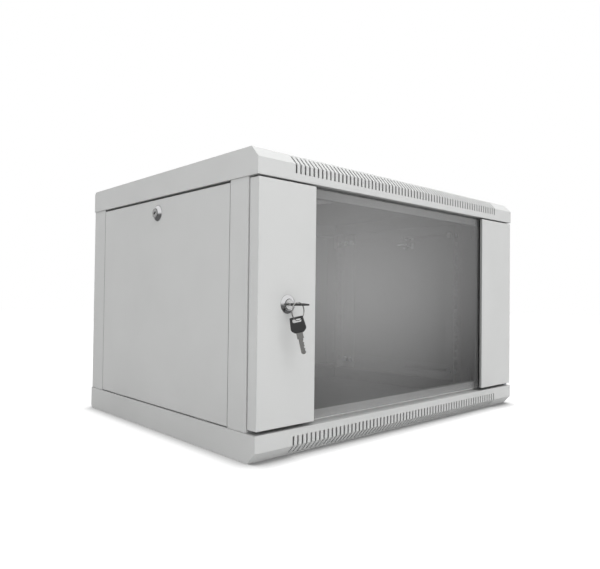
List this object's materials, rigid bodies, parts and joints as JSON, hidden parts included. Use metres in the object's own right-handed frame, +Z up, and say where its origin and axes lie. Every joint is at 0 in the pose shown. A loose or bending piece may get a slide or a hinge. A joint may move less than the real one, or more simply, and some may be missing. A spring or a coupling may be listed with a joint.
{
  "type": "wall mount network cabinet",
  "caption": "Wall mount network cabinet with a smoked glass door, folded steel covers with vent slots, lift-out side panels and sliding rack rails.",
  "frame": {"origin": "centre of the underside of the bottom cover, below the middle of the 600 by 450 mm covers", "axes": "+X to the right seen from the door, +Y to the wall, +Z up"},
  "size_m": [0.608, 0.4836, 0.368],
  "materials": {
    "grey_paint": "fine textured powder coat",
    "smoked_glass": "smoked toughened glass",
    "chrome": "polished plate",
    "plated_steel": "nickel plate",
    "zinc_steel": "zinc plate",
    "black_plastic": "moulded",
    "black_rubber": "matt"
  },
  "bodies": {
    "cabinet": {"top_cover": "grey_paint", "bottom_cover": "grey_paint", "front_left_post": "grey_paint", "front_right_post": "grey_paint", "rear_left_post": "grey_paint", "rear_right_post": "grey_paint", "front_top_beam": "grey_paint", "front_bottom_beam": "grey_paint", "upper_left_brace": "grey_paint", "lower_left_brace": "grey_paint", "upper_right_brace": "grey_paint", "lower_right_brace": "grey_paint", "back_panel": "grey_paint", "top_cable_plate": "grey_paint", "bottom_cable_plate": "grey_paint", "cable_plate_screws": "zinc_steel", "lower_hinge_pin": "zinc_steel"},
    "door": {"door_left_stile": "grey_paint", "door_right_stile": "grey_paint", "door_glass": "smoked_glass", "door_glass_tapes": "black_rubber", "door_bumpers": "black_rubber", "door_hinge_bushes": "black_plastic", "door_lock_housing": "chrome", "door_lock_clip": "zinc_steel", "hinge_spring": "zinc_steel"},
    "hinge_pin": {"upper_hinge_pin": "zinc_steel"},
    "door_lock": {"door_lock_plug": "chrome", "door_lock_cam": "zinc_steel", "door_cam_screw": "zinc_steel"},
    "key": {"key_blade": "plated_steel", "key_head": "black_plastic"},
    "ring": {"key_ring": "plated_steel"},
    "spare_key": {"spare_key_blade": "plated_steel", "spare_key_head": "black_plastic"},
    "left_panel": {"left_side_panel": "grey_paint", "left_lock_housing": "chrome", "left_lock_clip": "zinc_steel"},
    "left_panel_lock": {"left_lock_plug": "chrome", "left_lock_cam": "zinc_steel"},
    "right_panel": {"right_side_panel": "grey_paint", "right_lock_housing": "chrome", "right_lock_clip": "zinc_steel"},
    "right_panel_lock": {"right_lock_plug": "chrome", "right_lock_cam": "zinc_steel"},
    "front_left_rail": {"front_left_rail": "grey_paint", "front_left_rail_bolts": "zinc_steel"},
    "front_right_rail": {"front_right_rail": "grey_paint", "front_right_rail_bolts": "zinc_steel"},
    "rear_left_rail": {"rear_left_rail": "grey_paint", "rear_left_rail_bolts": "zinc_steel"},
    "rear_right_rail": {"rear_right_rail": "grey_paint", "rear_right_rail_bolts": "zinc_steel"}
  },
  "joints": [
    {"name": "door_hinge", "type": "hinge", "parent": "cabinet", "child": "door", "pos_m": [0.293, -0.217, 0.185], "axis": [0, 0, 1], "range_deg": [0, 180]},
    {"name": "upper_pin_slide", "type": "slide", "parent": "door", "child": "hinge_pin", "axis": [0, 0, -1], "range_m": [0, 0.0085], "stiffness_N_per_m": 300, "springref_m": -0.005, "deforming": ["hinge_spring"]},
    {"name": "door_lock_turn", "type": "hinge", "parent": "door", "child": "door_lock", "pos_m": [-0.252, -0.225, 0.184], "axis": [0, 1, 0], "range_deg": [0, 90]},
    {"name": "key_slide", "type": "slide", "parent": "door_lock", "child": "key", "axis": [0, -1, 0], "range_m": [0, 0.03]},
    {"name": "ring_swing", "type": "hinge", "parent": "key", "child": "ring", "pos_m": [-0.25873, -0.2505, 0.17632], "axis": [-0.1011, 0.9949, 0], "range_deg": [-45, 45]},
    {"name": "spare_key_swing", "type": "hinge", "parent": "ring", "child": "spare_key", "pos_m": [-0.25873, -0.2505, 0.16582], "axis": [0.9949, 0.1011, 0], "range_deg": [-50, 25]},
    {"name": "left_panel_tilt", "type": "hinge", "parent": "cabinet", "child": "left_panel", "pos_m": [-0.297, 0.0075, 0.0353], "axis": [0, -1, 0], "range_deg": [0, 20]},
    {"name": "left_panel_lock_turn", "type": "hinge", "parent": "left_panel", "child": "left_panel_lock", "pos_m": [-0.2985, 0.0075, 0.311], "axis": [1, 0, 0], "range_deg": [0, 90]},
    {"name": "right_panel_tilt", "type": "hinge", "parent": "cabinet", "child": "right_panel", "pos_m": [0.297, 0.0075, 0.0353], "axis": [0, 1, 0], "range_deg": [0, 20]},
    {"name": "right_panel_lock_turn", "type": "hinge", "parent": "right_panel", "child": "right_panel_lock", "pos_m": [0.2985, 0.0075, 0.311], "axis": [1, 0, 0], "range_deg": [0, 90]},
    {"name": "front_left_rail_slide", "type": "slide", "parent": "cabinet", "child": "front_left_rail", "axis": [0, 1, 0], "range_m": [0, 0.105]},
    {"name": "front_right_rail_slide", "type": "slide", "parent": "cabinet", "child": "front_right_rail", "axis": [0, 1, 0], "range_m": [0, 0.105]},
    {"name": "rear_left_rail_slide", "type": "slide", "parent": "cabinet", "child": "rear_left_rail", "axis": [0, -1, 0], "range_m": [0, 0.105]},
    {"name": "rear_right_rail_slide", "type": "slide", "parent": "cabinet", "child": "rear_right_rail", "axis": [0, -1, 0], "range_m": [0, 0.105]}
  ]
}
